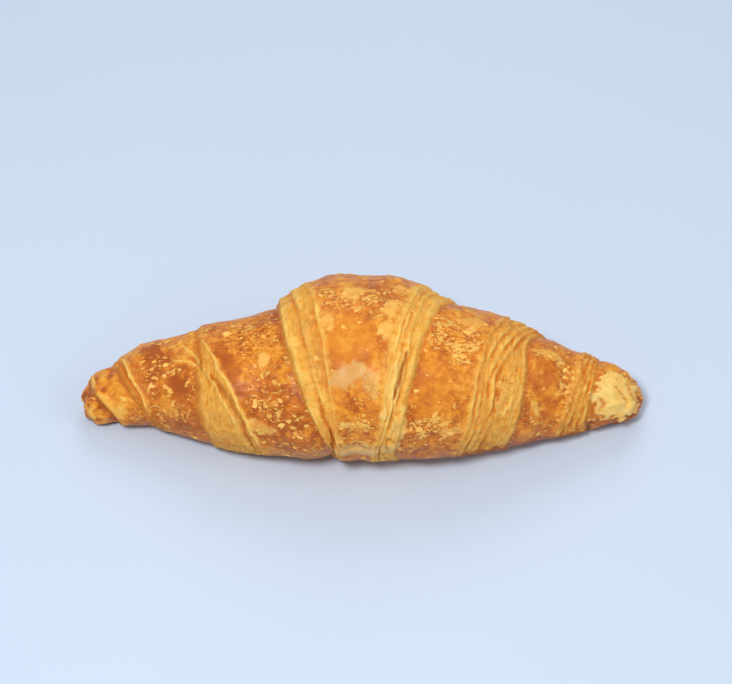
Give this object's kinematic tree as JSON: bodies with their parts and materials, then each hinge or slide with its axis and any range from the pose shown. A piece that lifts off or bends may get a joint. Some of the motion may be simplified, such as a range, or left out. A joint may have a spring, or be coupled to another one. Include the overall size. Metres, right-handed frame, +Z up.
{
  "type": "croissant",
  "caption": "Straight croissant: a rolled, layered pastry with a broad middle panel, spiral wraps with stepped layered edges, blunt tips and a flat base.",
  "frame": {"origin": "middle of the underside, on the surface that the croissant lies on", "axes": "+X along the croissant towards its smoother, paler tip, +Z up, and -Y towards the front, where the middle panel is narrowest"},
  "size_m": [0.17, 0.0588, 0.0463],
  "materials": {
    "crust": null
  },
  "bodies": {
    "root": {"croissant": "crust"}
  },
  "joints": []
}
